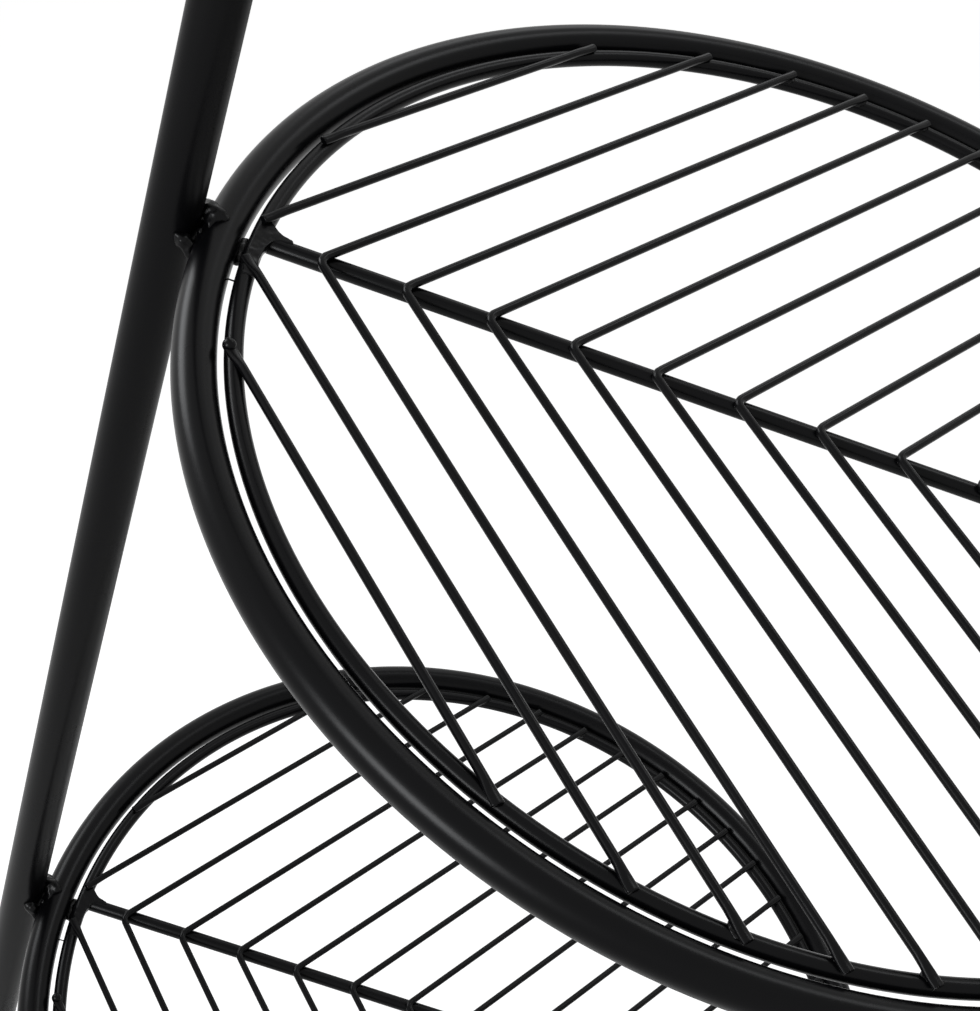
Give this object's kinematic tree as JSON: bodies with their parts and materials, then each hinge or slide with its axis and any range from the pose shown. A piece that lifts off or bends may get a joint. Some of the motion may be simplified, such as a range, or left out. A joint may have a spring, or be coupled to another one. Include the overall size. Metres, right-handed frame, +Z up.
{
  "type": "tiered plant stand",
  "caption": "Tall plant stand with round leaf-veined wire trays one above the other between two posts joined by an arch, on staple-shaped feet.",
  "frame": {"origin": "on the floor, midway between the two posts and midway between the front and back glides", "axes": "+Z is up; +X runs from the left post, where the leaf veins start, to the right post; +Y runs to the back"},
  "size_m": [0.4036, 0.371, 1.2316],
  "materials": {
    "powder_coat": "satin black powder coat on welded steel tube, rod and wire",
    "bare_steel": "zinc plated steel tube, out of sight inside the joint",
    "glide_plastic": "moulded black polythene"
  },
  "bodies": {
    "root": {"left_arch_ferrule": "bare_steel", "left_back_glide": "glide_plastic", "left_foot": "powder_coat", "left_front_glide": "glide_plastic", "left_post": "powder_coat", "lower_tray_hoop": "powder_coat", "lower_tray_midrib": "powder_coat", "lower_tray_rim": "powder_coat", "lower_tray_vein_01": "powder_coat", "lower_tray_vein_02": "powder_coat", "lower_tray_vein_03": "powder_coat", "lower_tray_vein_04": "powder_coat", "lower_tray_vein_05": "powder_coat", "lower_tray_vein_06": "powder_coat", "lower_tray_vein_07": "powder_coat", "lower_tray_vein_08": "powder_coat", "lower_tray_vein_09": "powder_coat", "lower_tray_vein_10": "powder_coat", "lower_tray_vein_11": "powder_coat", "lower_tray_vein_12": "powder_coat", "lower_tray_vein_13": "powder_coat", "middle_tray_hoop": "powder_coat", "middle_tray_midrib": "powder_coat", "middle_tray_rim": "powder_coat", "middle_tray_vein_01": "powder_coat", "middle_tray_vein_02": "powder_coat", "middle_tray_vein_03": "powder_coat", "middle_tray_vein_04": "powder_coat", "middle_tray_vein_05": "powder_coat", "middle_tray_vein_06": "powder_coat", "middle_tray_vein_07": "powder_coat", "middle_tray_vein_08": "powder_coat", "middle_tray_vein_09": "powder_coat", "middle_tray_vein_10": "powder_coat", "middle_tray_vein_11": "powder_coat", "middle_tray_vein_12": "powder_coat", "middle_tray_vein_13": "powder_coat", "right_arch_ferrule": "bare_steel", "right_back_glide": "glide_plastic", "right_foot": "powder_coat", "right_front_glide": "glide_plastic", "right_post": "powder_coat", "top_arch": "powder_coat", "upper_tray_hoop": "powder_coat", "upper_tray_midrib": "powder_coat", "upper_tray_rim": "powder_coat", "upper_tray_vein_01": "powder_coat", "upper_tray_vein_02": "powder_coat", "upper_tray_vein_03": "powder_coat", "upper_tray_vein_04": "powder_coat", "upper_tray_vein_05": "powder_coat", "upper_tray_vein_06": "powder_coat", "upper_tray_vein_07": "powder_coat", "upper_tray_vein_08": "powder_coat", "upper_tray_vein_09": "powder_coat", "upper_tray_vein_10": "powder_coat", "upper_tray_vein_11": "powder_coat", "upper_tray_vein_12": "powder_coat", "upper_tray_vein_13": "powder_coat"}
  },
  "joints": []
}
